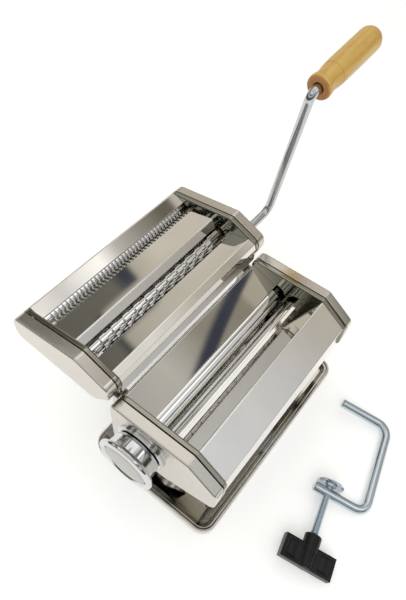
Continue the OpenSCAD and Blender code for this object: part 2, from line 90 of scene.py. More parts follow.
def strip(points, thick, bend=0.6, edge=0.2):
    """The outline of a bent sheet of that thickness, which lies to the left of the points."""
    pts = [Vector(p) for p in points]
    near, far = [], []
    for i, p in enumerate(pts):
        ends = i in (0, len(pts) - 1)
        u = (p - pts[i - 1]).normalized() if i else None
        v = (pts[i + 1] - p).normalized() if i < len(pts) - 1 else None
        n1 = turned(u or v)
        n2 = turned(v or u)
        q = p + (n1 + n2) * thick / (1 + n1.dot(n2))
        left = not ends and u.x * v.y - u.y * v.x > 0
        near.append((p.x, p.y, edge if ends else bend + thick * left))
        far.append((q.x, q.y, edge if ends else bend + thick * (not left)))
    outline = near + far[::-1]
    area = sum(outline[i - 1][0] * c[1] - c[0] * outline[i - 1][1] for i, c in enumerate(outline))
    return outline if area > 0 else outline[::-1]


def circle(at, r, steps=48):
    return [(at[0] + r * math.cos(TAU * k / steps), at[1] + r * math.sin(TAU * k / steps)) for k in range(steps)]


def stadium(y0, y1, z, r, steps=16):
    arc = [math.pi * k / steps - math.pi / 2 for k in range(steps + 1)]
    return ([(y1 + r * math.cos(t), z + r * math.sin(t)) for t in arc]
            + [(y0 - r * math.cos(t), z - r * math.sin(t)) for t in arc])


# ---- meshes ----
class Build:
    """Vertices and faces of one piece, gathered in millimetres."""

    def __init__(self):
        self.verts, self.faces = [], []

    def ring(self, points):
        first = len(self.verts)
        self.verts += [tuple(p) for p in points]
        return list(range(first, len(self.verts)))

    def bridge(self, a, b, closed=True):
        n = len(a)
        for i in range(n if closed else n - 1):
            j = (i + 1) % n
            self.faces.append((a[i], a[j], b[j], b[i]))

    def cap(self, loop, holes=(), flip=False):
        """Fills a flat ring, with holes left open."""
        loops = [loop, *holes]
        ids = [i for r in loops for i in r]
        for tri in tessellate_polygon([[Vector(self.verts[i]) for i in r] for r in loops]):
            if len(set(tri)) == 3:
                self.faces.append(tuple(ids[i] for i in (tri[::-1] if flip else tri)))

    def object(self, name, move=None, smooth=35):
        me = bpy.data.meshes.new(name)
        at = (move or Matrix.Identity(4))
        me.from_pydata([(at @ Vector(v)) * MM for v in self.verts], [], self.faces)
        me.validate()
        import_bm(me)
        me.shade_smooth()
        me.set_sharp_from_angle(angle=math.radians(smooth))
        o = bpy.data.objects.new(name, me)
        scene.collection.objects.link(o)
        w = o.modifiers.new("weighted", "WEIGHTED_NORMAL")
        w.keep_sharp = True
        return o


def import_bm(me):
    """Joins what coincides and turns all faces outwards."""
    import bmesh
    bm = bmesh.new()
    bm.from_mesh(me)
    bmesh.ops.remove_doubles(bm, verts=bm.verts, dist=1e-7)
    bmesh.ops.recalc_face_normals(bm, faces=bm.faces)
    bm.to_mesh(me)
    bm.free()


def pressed(build, corners, levels, holes=(), mirror=1, axis="x"):
    """A pan from one flat face, over its rim and back: levels are (position, inset) from the
    outer face's edge round to the inner face's. Holes go through both faces."""
    def put(points, at):
        if axis == "x":
            return [(mirror * at, y, z) for y, z in points]
        return [(x, y, at) for x, y in points]

    rings = [build.ring(put(rounded(inset(corners, d)), at)) for at, d in levels]
    for a, b in zip(rings, rings[1:]):
        build.bridge(a, b)
    cut = [[build.ring(put(h, levels[e][0])) for h in holes] for e in (0, -1)]
    for a, b in zip(*cut):
        build.bridge(a, b)
    build.cap(rings[0], cut[0])
    build.cap(rings[-1], cut[1])


def arc_levels(x_face, x_side, r, steps=6):
    """Levels of a rounded edge, from the flat face at x_face to the side that runs to x_side."""
    s = 1 if x_side > x_face else -1
    return [(x_face + s * r * (1 - math.cos(t)), r * (1 - math.sin(t)))
            for t in [math.pi / 2 * k / steps for k in range(steps + 1)]]


def prism(name, corners, x0, x1, edge=0.15, steps=6):
    """A profile in YZ drawn out along X, with softened ends."""
    b = Build()
    rings = [b.ring([(x, y, z) for y, z in rounded(inset(corners, d), steps)])
             for x, d in ((x0, edge), (x0 + edge, 0), (x1 - edge, 0), (x1, edge))]
    for a, c in zip(rings, rings[1:]):
        b.bridge(a, c)
    b.cap(rings[0])
    b.cap(rings[-1])
    return b.object(name)


def soften(profile, r, closed, steps=4):
    """Corners of a profile of (radius, x) points turned into small arcs."""
    out = []
    n = len(profile)
    for i in range(n):
        if not closed and i in (0, n - 1):
            out.append(profile[i])
            continue
        p = Vector(profile[i])
        a, b = Vector(profile[i - 1]) - p, Vector(profile[(i + 1) % n]) - p
        half = a.angle(b) / 2
        reach = min(r / max(math.tan(half), 1e-6), 0.45 * a.length, 0.45 * b.length)
        rad = reach * math.tan(half)
        a.normalize()
        b.normalize()
        if half > 1.54:
            out.append(tuple(p))
            continue
        c = p + (a + b).normalized() * rad / math.sin(half)
        s, e = p + a * reach - c, p + b * reach - c
        start = math.atan2(s.y, s.x)
        sweep = (math.atan2(e.y, e.x) - start + math.pi) % TAU - math.pi
        out += [(c.x + rad * math.cos(start + sweep * k / steps), c.y + rad * math.sin(start + sweep * k / steps))
                for k in range(steps + 1)]
    return out


def spun(build, profile, at=(0, 0), r=0.3, around=96, mirror=1):
    """Turns a profile of (radius, x) points about the X axis through at."""
    closed = profile[0][0] > 0
    pts = soften(profile, r, closed)
    rings = []
    for rad, x in pts:
        if rad < 1e-6:
            rings.append([len(build.verts)] * around)
            build.verts.append((mirror * x, at[0], at[1]))
        else:
            rings.append(build.ring([(mirror * x, at[0] + rad * math.cos(TAU * k / around),
                                      at[1] + rad * math.sin(TAU * k / around)) for k in range(around)]))
    pairs = list(zip(rings, rings[1:])) + ([(rings[-1], rings[0])] if closed else [])
    for a, b in pairs:
        for k in range(around):
            j = (k + 1) % around
            f = [a[k], a[j], b[j], b[k]]
            f = [v for i, v in enumerate(f) if v != f[i - 1]]
            if len(f) > 2:
                build.faces.append(tuple(f))


def lathe(name, profile, at=(0, 0), r=0.3, around=96, mirror=1, move=None):
    b = Build()
    spun(b, profile, at, r, around, mirror)
    return b.object(name, move)


def tube(build, path, radii, around=40):
    """Sweeps a circle along a path, with closed ends."""
    path = [Vector(p) for p in path]
    normal = None
    rings = []
    for i, p in enumerate(path):
        t = (path[min(i + 1, len(path) - 1)] - path[max(i - 1, 0)]).normalized()
        if normal is None:
            normal = t.orthogonal().normalized()
        normal = (normal - t * normal.dot(t)).normalized()
        side = t.cross(normal)
        rings.append(build.ring([p + (normal * math.cos(TAU * k / around) + side * math.sin(TAU * k / around)) * radii[i]
                                 for k in range(around)]))
    for a, b in zip(rings, rings[1:]):
        build.bridge(a, b)
    for ring in (rings[0], rings[-1]):
        build.faces.append(tuple(ring))


def bent_path(points, bends, steps=14):
    """Points of a line of straight stretches joined by arcs."""
    pts = [Vector(p) for p in points]
    out = [pts[0]]
    for i in range(1, len(pts) - 1):
        p, r = pts[i], bends[i - 1]
        a, b = (pts[i - 1] - p).normalized(), (pts[i + 1] - p).normalized()
        half = a.angle(b) / 2
        c = p + (a + b).normalized() * r / math.sin(half)
        s, e = p + a * r / math.tan(half) - c, p + b * r / math.tan(half) - c
        whole = s.angle(e)
        for k in range(steps + 1):
            f = k / steps
            out.append(c + (s * math.sin((1 - f) * whole) + e * math.sin(f * whole)) / math.sin(whole))
    return out + [pts[-1]]


def chamfered(path, r, c=0.6):
    """Path and radii of a rod with its ends turned down by c."""
    a, b = (path[1] - path[0]).normalized(), (path[-2] - path[-1]).normalized()
    pts = [path[0], path[0] + a * c, *path[1:-1], path[-1] + b * c, path[-1]]
    return pts, [r - c] + [r] * (len(pts) - 2) + [r - c]


def fit(o, body, slot, *nodes, look=None):
    """Seats a piece on its body, in place of CAD nodes, with its slot's material or one like it."""
    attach(o, body)
    if nodes:
        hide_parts(*nodes)
    o.data.materials.clear()
    o.data.materials.append(materials[look or slot])
    return o


# ---- procedural materials ----
class Nodes:
    def __init__(self, tree):
        self.tree = tree

    def add(self, kind, inputs=None, **props):
        n = self.tree.nodes.new(kind)
        for k, v in props.items():
            setattr(n, k, v)
        for k, v in (inputs or {}).items():
            if isinstance(v, bpy.types.NodeSocket):
                self.tree.links.new(v, n.inputs[k])
            else:
                n.inputs[k].default_value = v
        return n

    def noise(self, coord, scale, detail=4, rough=0.55):
        return self.add("ShaderNodeTexNoise", {"Vector": coord, "Scale": scale, "Detail": detail, "Roughness": rough}).outputs[0]

    def scaled(self, coord, scale, turn=(0, 0, 0)):
        return self.add("ShaderNodeMapping", {"Vector": coord, "Scale": scale, "Rotation": turn}).outputs[0]

    def span(self, value, a, b, lo, hi, smooth=False):
        n = self.add("ShaderNodeMapRange", {"Value": value, "From Min": a, "From Max": b, "To Min": lo, "To Max": hi})
        n.interpolation_type = "SMOOTHSTEP" if smooth else "LINEAR"
        return n.outputs[0]

    def mix(self, f, a, b):
        n = self.add("ShaderNodeMix", data_type="RGBA")
        for key, v in ((0, f), (6, a), (7, b)):
            if isinstance(v, bpy.types.NodeSocket):
                self.tree.links.new(v, n.inputs[key])
            else:
                n.inputs[key].default_value = v if key == 0 else (*v, 1)
        return n.outputs[2]

    def math(self, op, *values):
        n = self.add("ShaderNodeMath", operation=op)
        for i, v in enumerate(values):
            if isinstance(v, bpy.types.NodeSocket):
                self.tree.links.new(v, n.inputs[i])
            else:
                n.inputs[i].default_value = v
        return n.outputs[0]

    def dot(self, vector, direction):
        n = self.add("ShaderNodeVectorMath", {0: vector, 1: direction}, operation="DOT_PRODUCT")
        return n.outputs["Value"]


def new_material(name):
    m = bpy.data.materials.new(name)
    m.use_nodes = True
    m.node_tree.nodes.clear()
    n = Nodes(m.node_tree)
    out = n.add("ShaderNodeOutputMaterial")
    shader = n.add("ShaderNodeBsdfPrincipled")
    n.tree.links.new(shader.outputs[0], out.inputs[0])
    return m, n, shader


def shade(c, f):
    return tuple(min(x * f, 1) for x in c)


def metal(name, color, rough, streak=(300, 300, 300), grain=0.25, bump=0.00001, edge=0.0003, spots=0.0):
    """A worn metal: brushed or turned streaks and faint smears, with a painted highlight that lightens the colour
    along the edges.
    """
    m, n, s = new_material(name)
    coord = n.add("ShaderNodeTexCoord").outputs["Object"]
    lines = n.noise(n.scaled(coord, streak), 1, 5, 0.65)
    smear = n.noise(n.scaled(coord, (22, 16, 18)), 1, 3, 0.5)
    normal = n.add("ShaderNodeNewGeometry").outputs["Normal"]
    soft = n.add("ShaderNodeBevel", {"Radius": edge}, samples=4).outputs[0]
    turn = n.add("ShaderNodeVectorMath", {0: normal, 1: soft}, operation="DOT_PRODUCT").outputs["Value"]
    # edge mask: it carries a painted highlight in the colour and a little more roughness
    edge_highlight_mask = n.span(turn, 0.995, 0.9, 0, 1)
    tone = n.mix(n.span(smear, 0.35, 0.65, 0, 1), shade(color, 0.95), shade(color, 1.03))
    tone = n.mix(n.span(lines, 0.3, 0.7, 0, grain), tone, shade(color, 0.86))
    if spots:
        dust = n.span(n.noise(coord, 260, 2), 0.68, 0.74, 0, spots)
        tone = n.mix(dust, tone, shade(color, 0.6))
    # painted highlight: the colour is lightened by up to 12% along the edges
    tone = n.mix(n.math("MULTIPLY", edge_highlight_mask, 0.5), tone, shade(color, 1.12))
    n.tree.links.new(tone, s.inputs["Base Color"])
    level = n.math("ADD", n.span(lines, 0.3, 0.7, rough * 0.8, rough * 1.25), n.span(smear, 0.4, 0.7, 0, rough * 0.3))
    n.tree.links.new(n.math("ADD", level, n.math("MULTIPLY", edge_highlight_mask, 0.06)), s.inputs["Roughness"])
    s.inputs["Metallic"].default_value = 1
    raised = n.add("ShaderNodeBump", {"Height": lines, "Normal": soft, "Strength": 0.6, "Distance": bump})
    n.tree.links.new(raised.outputs[0], s.inputs["Normal"])
    return m


def wood(name):
    """Lacquered beech, its grain along the grip."""
    m, n, s = new_material(name)
    coord = n.add("ShaderNodeTexCoord").outputs["Object"]
    lean = n.scaled(coord, (1, 1, 1), (0, math.radians(7), 0))
    warp = n.noise(n.scaled(lean, (14, 60, 60)), 1, 3)
    bands = n.noise(n.scaled(lean, (9, 190, 190)), 1, 5, 0.6)
    pores = n.noise(n.scaled(lean, (120, 2200, 2200)), 1, 2, 0.5)
    flecks = n.noise(n.scaled(lean, (420, 1500, 1500)), 1, 1, 0.4)
    tone = n.mix(n.span(warp, 0.3, 0.7, 0, 1), (0.64, 0.385, 0.07), (0.70, 0.46, 0.105))
    tone = n.mix(n.span(bands, 0.42, 0.68, 0, 0.75), tone, (0.48, 0.255, 0.05))
    tone = n.mix(n.span(pores, 0.58, 0.72, 0, 0.4), tone, (0.32, 0.14, 0.04))
    tone = n.mix(n.span(flecks, 0.60, 0.72, 0, 0.3), tone, (0.74, 0.50, 0.18))
    faces = n.add("ShaderNodeTexCoord").outputs["Normal"]
    tone = n.mix(n.span(n.dot(faces, (-0.99, 0, -0.12)), 0.3, 0.8, 0, 0.8), tone, (0.40, 0.16, 0.05))
    n.tree.links.new(tone, s.inputs["Base Color"])
    n.tree.links.new(n.span(bands, 0.3, 0.7, 0.30, 0.42), s.inputs["Roughness"])
    s.inputs["Coat Weight"].default_value = 0.35
    s.inputs["Coat Roughness"].default_value = 0.16
    raised = n.add("ShaderNodeBump", {"Height": n.math("ADD", pores, bands), "Strength": 0.35, "Distance": 0.00006})
    n.tree.links.new(raised.outputs[0], s.inputs["Normal"])
    return m


def moulded(name, color, rough, scale, bump):
    """Moulded plastic or rubber with a fine texture and scuffed patches."""
    m, n, s = new_material(name)
    coord = n.add("ShaderNodeTexCoord").outputs["Object"]
    fine = n.noise(coord, scale, 3, 0.6)
    scuff = n.noise(n.scaled(coord, (90, 60, 120)), 1, 4, 0.6)
    tone = n.mix(n.span(scuff, 0.45, 0.75, 0, 0.6), color, tuple(c * 1.8 + 0.003 for c in color))
    n.tree.links.new(tone, s.inputs["Base Color"])
    n.tree.links.new(n.span(scuff, 0.35, 0.7, rough * 0.85, rough * 1.3), s.inputs["Roughness"])
    s.inputs["Specular IOR Level"].default_value = 0.25
    raised = n.add("ShaderNodeBump", {"Height": fine, "Strength": 0.4, "Distance": bump})
    n.tree.links.new(raised.outputs[0], s.inputs["Normal"])
    return m


materials = {
    "brushed_steel": metal("brushed_steel", (0.63, 0.595, 0.54), 0.18, (2600, 90, 2600), 0.35, 0.000012, spots=0.15),
    "tray_steel": metal("tray_steel", (0.64, 0.61, 0.56), 0.09, (900, 90, 900), 0.3, 0.000006, spots=0.1),
    # painted shade: a darker, olive copy of brushed steel for the side frames recessed behind the caps
    "shaded_frame_steel": metal("shaded_frame_steel", (0.34, 0.33, 0.27), 0.10, (900, 90, 900), 0.3, 0.000004),
    # painted shade: a darker copy of chrome for the knob's recessed cover disc
    "shaded_knob_steel": metal("shaded_knob_steel", (0.42, 0.40, 0.37), 0.14, (900, 500, 900), 0.3, 0.000004),
    "polished_steel": metal("polished_steel", (0.76, 0.74, 0.70), 0.035, (60, 1800, 1800), 0.12, 0.0000008),
    "rod_chrome": metal("rod_chrome", (0.55, 0.56, 0.58), 0.12, (60, 500, 500), 0.10, 0.000002),
    "chrome": metal("chrome", (0.66, 0.67, 0.68), 0.05, (500, 500, 500), 0.10, 0.000002),
    "zinc_steel": metal("zinc_steel", (0.58, 0.65, 0.70), 0.16, (700, 700, 700), 0.35, 0.00001, spots=0.3),
    "gear_steel": metal("gear_steel", (0.45, 0.44, 0.43), 0.30, (2400, 300, 300), 0.5, 0.00001, spots=0.4),
    "bronze": metal("bronze", (0.30, 0.22, 0.12), 0.3, (2400, 300, 300), 0.4, 0.00001, spots=0.3),
    "roller_steel": metal("roller_steel", (0.80, 0.79, 0.77), 0.07, (2600, 40, 40), 0.16, 0.0000012, 0.0001),
    "spring_steel": metal("spring_steel", (0.5, 0.5, 0.52), 0.25, (900, 900, 900), 0.3, 0.00001),
    "beech": wood("beech"),
    "black_plastic": moulded("black_plastic", (0.005, 0.005, 0.0055), 0.24, 2600, 0.00003),
    "rubber": moulded("rubber", (0.03, 0.03, 0.03), 0.75, 1800, 0.00008),
}
for part in frame["record"]["subparts"]:
    data = frame["nodes"][part["node"]].data
    data.materials.clear()
    data.materials.append(materials[part["material_slot"]])

# ---- sizes shared by several pieces, as in the CAD source ----
FRAME_X, PLATE_T, RIM_X, CAP_IN, CAP_X, CAP_T = 85.3, 1.2, 89.5, 90.4, 100, 1.1
BODY = [(45, 111, 6), (-28.4, 112.5, 3), (-56, 94, 5), (-56, 70, 7), (-8, 51, 12), (45, 51, 8)]
HEAD = [(143.5, 131, 9), (74.5, 142.3, 6), (42.5, 129.6, 9), (44.5, 117, 6), (60, 100.5, 9), (143.5, 107.5, 9)]
LEGS = [(38, 80, 2), (-36, 80, 2), (-44, 2.4, 1), (-22, 2.4, 1), (-14, 34, 8), (16, 34, 8), (22, 2.4, 1), (42, 2.4, 1)]
FRONT, REAR, KNOB = (-7, 82), (18, 82), (13.5, 81)
DRIVE = (-27.8716, 74.4034)
WIDE, WIDE2, THIN, THIN2 = (68, 114.5), (86.6, 114.5), (112.2, 119), (130.8, 119)
TIES = [(-45, 82), (38, 88), (37, 66)]
HEAD_TIES = [(54.5, 117), (99.6, 111.5), (98, 128.5)]
ROLL_END = 81.5


def ccw(corners):
    area = sum(corners[i - 1][0] * c[1] - c[0] * corners[i - 1][1] for i, c in enumerate(corners))
    return corners if area > 0 else corners[::-1]


BODY, HEAD, LEGS = ccw(BODY), ccw(HEAD), ccw(LEGS)

# ---- side caps: pressed pans with a rounded edge ----
def cap(name, body, corners, mirror, holes=(), r=1.9):
    b = Build()
    levels = (arc_levels(CAP_X, CAP_IN, r) + [(CAP_IN + 0.35, 0), (CAP_IN + 0.1, 0.1), (CAP_IN, 0.35), (CAP_IN, CAP_T - 0.35),
              (CAP_IN + 0.1, CAP_T - 0.1), (CAP_IN + 0.35, CAP_T)] + [(CAP_X - r, CAP_T), (CAP_X - CAP_T, r + 0.4)])
    pressed(b, corners, levels, holes, mirror)
    return fit(b.object(name), body, "brushed_steel", name.replace("_skin", ""))


cap("left_cap_skin", "machine", BODY, -1, [circle(KNOB, 8)])
cap("right_cap_skin", "machine", BODY, 1, [circle(DRIVE, 7.4)])
cap("cutter_left_cap_skin", "cutter", HEAD, -1)
cap("cutter_right_cap_skin", "cutter", HEAD, 1, [circle(WIDE, 6.4), circle(THIN, 6.4)])


# ---- side frames: pans whose flat faces carry the bearings ----
def side(name, body, corners, mirror, holes, feet=False, r=1.5):
    b = Build()
    levels = (arc_levels(FRAME_X, RIM_X, r) + [(RIM_X - 0.35, 0), (RIM_X - 0.1, 0.1), (RIM_X, 0.35), (RIM_X, PLATE_T - 0.35),
              (RIM_X - 0.1, PLATE_T - 0.1), (RIM_X - 0.35, PLATE_T)] + [(FRAME_X + r, PLATE_T), (FRAME_X + PLATE_T, r + 0.3)])
    pressed(b, corners, levels, holes, mirror)
    if feet:
        lo, hi = FRAME_X + 0.05, FRAME_X + PLATE_T - 0.05
        pressed(b, LEGS, [(lo, 0.2), (lo + 0.2, 0), (hi - 0.2, 0), (hi, 0.2)], [h for h in holes], mirror)
        for y in (-44, 20):
            tab = [(y, 2.4, 0.5), (y + 24, 2.4, 0.5), (y + 24, 3.6, 0.5), (y, 3.6, 0.5)]
            pressed(b, tab, [(72, 0.2), (72.2, 0), (FRAME_X + 0.4, 0)], (), mirror)
        for z in (71.4, 90.8):
            rib = [(8, z, 0.4), (28, z, 0.4), (28, z + 1.8, 0.4), (8, z + 1.8, 0.4)]
            pressed(b, rib, [(FRAME_X + 0.6, 0), (RIM_X - 0.2, 0), (RIM_X, 0.2)], (), mirror)
    # the side frames take the darker copy of brushed steel, which is painted shade
    return fit(b.object(name), body, "brushed_steel", name.replace("_skin", ""), look="shaded_frame_steel")


body_holes = [circle(FRONT, 7), stadium(REAR[0] - 2.2, REAR[0] + 0.4, REAR[1], 5.4)] + [circle(t, 3.05) for t in TIES]
side("left_frame_skin", "machine", BODY, -1, body_holes, True)
side("right_frame_skin", "machine", BODY, 1, body_holes + [circle(DRIVE, 9)], True)
head_holes = [circle(a, 6) for a in (WIDE, WIDE2, THIN, THIN2)] + [circle(t, 2.55) for t in HEAD_TIES]
side("cutter_left_frame_skin", "cutter", HEAD, -1, head_holes)
side("cutter_right_frame_skin", "cutter", HEAD, 1, head_holes)

# ---- base tray: a rolled bead, a groove and a sloping inner wall ----
BASE = ccw([(105.5, 70, 13), (-105.5, 70, 13), (-105.5, -59, 13), (105.5, -59, 13)])
tray = Build()
rim = [(0, 0.9), (0.25, 0.3), (0.9, 0), (8.1, 0)]
rim += [(8.1 + 1.4 * math.sin(t), 1.4 - 1.4 * math.cos(t)) for t in [math.radians(a) for a in range(15, 166, 15)]]
rim += [(8.3, 2.95), (8.2, 3.3), (8.35, 3.6), (8.3, 4.4), (7.9, 5.0), (7.2, 5.5), (3.6, 6.9), (2.8, 7.5), (2.4, 8.6)]
pads = [(sx * 92.5, y) for sx in (-1, 1) for y in (-47, 58)]
rings = [tray.ring([(x, y, z) for x, y in rounded(inset(BASE, d), 12)]) for z, d in rim]
for a, c in zip(rings, rings[1:]):
    tray.bridge(a, c)
tray.cap(rings[-1])
wells = [[tray.ring([(x, y, z) for x, y in circle(p, 6.0, 40)]) for p in pads] for z in (0, 1.6)]
tray.cap(rings[0], wells[0])
for a, c in zip(*wells):
    tray.bridge(a, c)
    tray.cap(c)
fit(tray.object("base_tray"), "machine", "brushed_steel", "base_plate", look="tray_steel")

# ---- bent sheets ----
SHEETS = [
    ("hopper_sheet", "machine", "rear_hopper", [(44, 98), (44, 104), (42.6, 105), (16.8, 95.2)], 0.8, 0.5, FRAME_X),
    ("front_sheet", "machine", "front_cover", [(-7.6, 97.6), (-10.9, 98), (-12.6, 100), (-28.8, 111), (-54, 94.2),
                                               (-54, 63), (-50.5, 59.6)], 1, 0.7, FRAME_X),
    ("rear_sheet", "machine", "rear_cover", [(40, 56), (45, 58), (45, 102.6)], 1, 1, FRAME_X),
    ("head_rear_sheet", "cutter", "cutter_rear_plate", [(142.6, 110), (142.6, 128.6), (138.4, 132.6), (125, 130)],
     0.9, 0.8, FRAME_X),
    ("head_middle_sheet", "cutter", "cutter_middle_plate", [(112.2, 131.4), (88, 137.6), (83.2, 127.4)], 0.9, 0.5, 79),
    ("head_front_sheet", "cutter", "cutter_front_plate", [(70.6, 127), (52.5, 132.2), (46, 130.2), (43.8, 125),
                                                          (43.8, 112)], 0.9, 0.9, FRAME_X),
]
for name, body, node, points, thick, bend, x1 in SHEETS:
    fit(prism(name, strip(points, thick, bend), -FRAME_X, x1), body, "polished_steel", node)

# ---- smooth rollers ----
for name, body, node, at, journal, x0, x1 in (
        ("front_roller_turned", "front_roll", "front_roller", FRONT, 5, -90, 97),
        ("rear_roller_turned", "rear_roll", "rear_roller", REAR, 4.5, -88.2, 97)):
    fit(lathe(name, [(0, x0), (journal, x0), (journal, -ROLL_END), (11.5, -ROLL_END), (11.5, ROLL_END),
                     (journal, ROLL_END), (journal, x1), (0, x1)], at, 0.5, 128), body, "roller_steel", node)


# ---- cutter rollers ----
def cutter(name, body, node, at, count, pitch, ring, socket):
    """Rings and grooves; the front roller of a pair ends in a crank socket."""
    outer, groove = 10.2, 8.1
    teeth = []
    for k in range(count):
        c = (k - (count - 1) / 2) * pitch
        teeth += [(groove, c - ring / 2), (outer, c - ring / 2), (outer, c + ring / 2), (groove, c + ring / 2)]
    body_line = [(4.4, -88), (4.4, -82.6), (groove, -82.6)] + teeth + [(groove, 82.6), (4.4, 82.6)]
    if socket:
        profile = [(0, -88)] + body_line + [(4.4, 96), (5.6, 96), (5.6, 101), (3.55, 101), (3.55, 92), (0, 92)]
    else:
        profile = [(0, -88)] + body_line + [(4.4, 97), (0, 97)]
    return fit(lathe(name, profile, at, 0.16, 72), body, "roller_steel", node)


cutter("wide_front_turned", "wide_front", "wide_front_roller", WIDE, 12, 13, 6.25, True)
cutter("wide_rear_turned", "wide_rear", "wide_rear_roller", WIDE2, 11, 13, 6.25, False)
cutter("thin_front_turned", "thin_front", "thin_front_roller", THIN, 40, 4, 1.8, True)
cutter("thin_rear_turned", "thin_rear", "thin_rear_roller", THIN2, 39, 4, 1.8, False)

# ---- thickness knob ----
fit(lathe("knob_turned", [(3.05, 110), (16, 110), (16, 103.4), (19.6, 103.4), (20.6, 106), (21, 110.5), (21.5, 114.5),
                          (24.6, 115.6), (25.6, 117), (25.2, 118.8), (23.6, 119.8), (21.4, 119.8), (20.2, 118.6),
                          (18.4, 113), (3.05, 113)], KNOB, 1.2, 128, -1), "knob_head", "chrome", "knob")
# the cover disc takes the darker copy of chrome, which is painted shade
fit(lathe("knob_disc", [(0, 118.9), (19.4, 117.2), (20.1, 118.6), (15, 119.4), (0, 119.8)], KNOB, 0.8, 128, -1),
    "knob_head", "chrome", "knob_cover", look="shaded_knob_steel")
dial = Build()
spun(dial, [(5.4, 100), (22.4, 100), (22.4, 102), (21.4, 102), (21.4, 102.8), (5.4, 102.8)], KNOB, 0.25, 128, -1)
fit(dial.object("dial_turned"), "machine", "chrome", "dial_ring")

# ---- crank ----
CRANK_X, ARM, CORNER, SPLAY = 143.5, 130, 7, math.radians(7)
crank = Matrix.Translation((0, *WIDE)) @ Matrix.Rotation(math.radians(6.3), 4, "X")
grip = crank @ Matrix.Translation((CRANK_X, 0, ARM)) @ Matrix.Rotation(-SPLAY, 4, "Y")
GRIP_AT, GRIP_L = 9, 85
along = Vector((math.cos(SPLAY), 0, math.sin(SPLAY)))
top = Vector((CRANK_X, 0, ARM))
line = bent_path([(92, 0, 0), (CRANK_X, 0, 0), top, top + along * (GRIP_AT + 4)], [10, CORNER], 18)
rod = Build()
pts, radii = chamfered(line, 4.1, 0.4)
pts[2:2] = [Vector((103, 0, 0)), Vector((104.5, 0, 0))]
radii = [3.1, 3.5, 3.5] + [4.1] * (len(pts) - 4) + [3.7]
tube(rod, pts, radii, 48)
pts, radii = chamfered([top + along * (GRIP_AT + 3), top + along * (GRIP_AT + GRIP_L - 6)], 3, 0.3)
tube(rod, pts, radii, 32)
flat = [(-2, -2.6, 0.3), (2, -2.6, 0.3), (2, 2.6, 0.3), (-2, 2.6, 0.3)]
tongue = Build()
pressed(tongue, flat, [(86, 0.4), (86.4, 0), (93, 0)])
shift = Matrix.Rotation(math.radians(-6.3), 4, "X")
first = len(rod.verts)
rod.verts += [tuple(shift @ Vector(v)) for v in tongue.verts]
rod.faces += [tuple(i + first for i in f) for f in tongue.faces]
fit(rod.object("crank_bar", crank), "crank", "chrome", "crank_rod", look="rod_chrome")
wooden = [(3.05, 5), (4.7, 5), (4.7, 0), (9.2, 0), (10.4, 0.9), (10.8, 3), (10.4, 6.5), (9.8, 10), (9.9, 14), (10.4, 17.6),
          (10.6, 20), (10.1, 20.8), (10.7, 21.9), (11, 30), (11, GRIP_L - 10), (10.8, GRIP_L - 6.6), (9.7, GRIP_L - 3.6),
          (7.6, GRIP_L - 1.9), (5, GRIP_L - 1.6), (5, GRIP_L - 4), (3.05, GRIP_L - 4)]
fit(lathe("grip_wood", [(r, x + GRIP_AT) for r, x in wooden], (0, 0), 0.9, 96, 1, grip), "grip", "beech", "crank_grip")

# ---- clamp ----
CLAMP_AT, REACH, ARM_X, BACK, BEND, ROD_R, ARM_END = Vector((-1.9, -116.6, 12.4)), 36.7, 9.5, 87.5, 11, 4.4, 13.5
tilt = math.asin((CLAMP_AT.z - ROD_R) / REACH)
clamp = Matrix.Translation(CLAMP_AT) @ Matrix.Rotation(math.radians(193), 4, "Z") @ Matrix.Rotation(-tilt, 4, "X")
bar = Build()
pts, radii = chamfered(bent_path([(ARM_X, -ARM_END, 0), (ARM_X, REACH, 0), (ARM_X - BACK, REACH, 0),
                                  (ARM_X - BACK, -ARM_END, 0)], [BEND, BEND], 18), ROD_R, 0.7)
tube(bar, pts, radii, 48)
fit(bar.object("clamp_bar", clamp), "clamp", "zinc_steel", "clamp_frame")
screw = Build()
PITCH, MAJOR, MINOR, PER, AROUND = 1.25, 3.4, 2.75, 8, 36
rows = []
count = int((47.6 - 3.2) / PITCH * PER)
for i in range(count + 1):
    x = 3.2 + i * PITCH / PER
    ring = []
    for k in range(AROUND):
        phase = (x / PITCH - k / AROUND) % 1
        depth = 1 - abs(2 * phase - 1)
        r = MINOR + (MAJOR - MINOR) * min(max(depth * 1.35 - 0.1, 0), 1)
        ring.append((x, r * math.cos(TAU * k / AROUND), r * math.sin(TAU * k / AROUND)))
    rows.append(screw.ring(ring))
for a, c in zip(rows, rows[1:]):
    screw.bridge(a, c)
for x, r, row in ((2.4, 2.9, rows[0]), (49, 2.6, rows[-1])):
    end = screw.ring([(x, r * math.cos(TAU * k / AROUND), r * math.sin(TAU * k / AROUND)) for k in range(AROUND)])
    screw.bridge(row, end)
    screw.faces.append(tuple(end))
spun(screw, [(0, 0.2), (2.4, 0.2), (2.4, 2.8), (0, 2.8)], r=0.2, around=36)
fit(screw.object("clamp_thread", clamp), "clamp_handle", "zinc_steel", "clamp_screw")
fit(lathe("clamp_dish", [(2.55, -0.8), (7.6, -0.8), (11.2, 1.6), (12.4, 1.4), (12.4, 2.2), (11, 3), (7, 1.6), (5.6, 2),
                         (5, 4.2), (3.45, 4.2), (3.45, 2.35), (2.55, 2.35)], r=0.7, around=96, move=clamp),
    "clamp_foot", "zinc_steel", "clamp_pad")

KNOB_AT, KNOB_LEN, HALF, THICK = 48, 28, 22.8, 4.2
wing = KNOB_AT + 9
tee = Build()


def pillow(x, y):
    """Half the thickness of the wing, with a shallow recess on each side of the hub."""
    u, v = (x - wing - 9.5) / 7, (abs(y) - 13.6) / 5.6
    if abs(u) >= 1 or abs(v) >= 1:
        return THICK
    return THICK - 1.1 * min(1, 4 * (1 - abs(u))) * min(1, 3 * (1 - abs(v))) * (1 - 0.35 * v * v)


